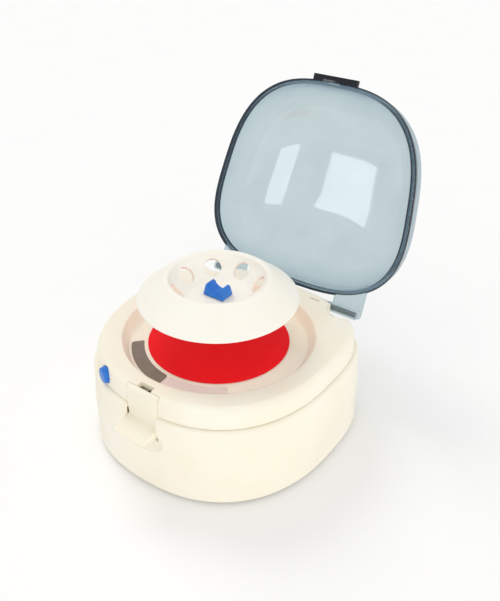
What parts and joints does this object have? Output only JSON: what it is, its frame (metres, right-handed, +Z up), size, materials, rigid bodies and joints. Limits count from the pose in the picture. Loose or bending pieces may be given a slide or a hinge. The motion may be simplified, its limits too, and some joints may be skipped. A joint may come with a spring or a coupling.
{
  "type": "mini laboratory centrifuge",
  "caption": "Mini laboratory centrifuge with a rounded two-part housing, clear hinged domed lid, spinning hooded rotor with tube holes, rocking front latch and push button.",
  "frame": {"origin": "on the rotor's axis, on the flat underside of the housing; the four feet reach 2 mm lower", "axes": "+Z up along the rotor's axis, -Y to the front where the latch is, +X to the user's right"},
  "size_m": [0.1584, 0.2415, 0.1954],
  "materials": {
    "housing": "warm off-white ABS, fine satin",
    "rotor": "smooth off-white polypropylene",
    "disc_red": "matt red",
    "control_blue": "blue, moulded",
    "lid_clear": "smoked blue-grey clear polycarbonate, polished",
    "label_taupe": "printed film label",
    "label_pale": "printed film label",
    "steel": "brushed",
    "rubber": "matt black",
    "black": "black moulded",
    "board": "green solder mask"
  },
  "bodies": {
    "housing": {"upper_housing": "housing", "lower_housing": "housing", "chamber_disc": "disc_red", "floor_label_dark": "label_taupe", "floor_label_pale": "label_pale", "motor": "steel", "motor_bracket": "steel", "motor_mount_1": "rubber", "motor_mount_2": "rubber", "motor_mount_3": "rubber", "motor_screw_1": "steel", "motor_screw_2": "steel", "motor_screw_3": "steel", "hinge_pin_left": "steel", "hinge_pin_right": "steel", "latch_pin": "steel", "latch_spring": "steel", "power_switch": "black", "lid_switch": "black", "circuit_board": "board", "power_inlet": "black", "motor_lead": "black", "inlet_lead": "black", "lid_switch_lead": "black", "power_switch_lead": "black", "foot_front_left": "rubber", "foot_front_right": "rubber", "foot_rear_left": "rubber", "foot_rear_right": "rubber", "housing_screw_front_left": "steel", "housing_screw_front_right": "steel", "housing_screw_rear_left": "steel", "housing_screw_rear_right": "steel"},
    "rotor": {"motor_shaft": "steel", "rotor_hub": "rotor", "rotor_hood": "rotor"},
    "knob": {"rotor_knob": "control_blue"},
    "lid": {"lid": "lid_clear"},
    "latch": {"latch_lever": "housing"},
    "button": {"power_button": "control_blue"}
  },
  "joints": [
    {"name": "lid_hinge", "type": "hinge", "parent": "housing", "child": "lid", "pos_m": [0, 0.0724, 0.0607], "axis": [1, 0, 0], "range_deg": [0, 110]},
    {"name": "rotor_spin", "type": "hinge", "parent": "housing", "child": "rotor", "pos_m": [0, 0, 0.09], "axis": [0, 0, 1], "continuous": true},
    {"name": "knob_turn", "type": "hinge", "parent": "rotor", "child": "knob", "pos_m": [0, 0, 0.09], "axis": [0, 0, 1], "range_deg": [0, 360]},
    {"name": "latch_press", "type": "hinge", "parent": "housing", "child": "latch", "pos_m": [0, -0.0632, 0.0556], "axis": [1, 0, 0], "range_deg": [0, 8]},
    {"name": "button_press", "type": "slide", "parent": "housing", "child": "button", "axis": [0.3741, 0.9274, 0], "range_m": [0, 0.0018]}
  ]
}
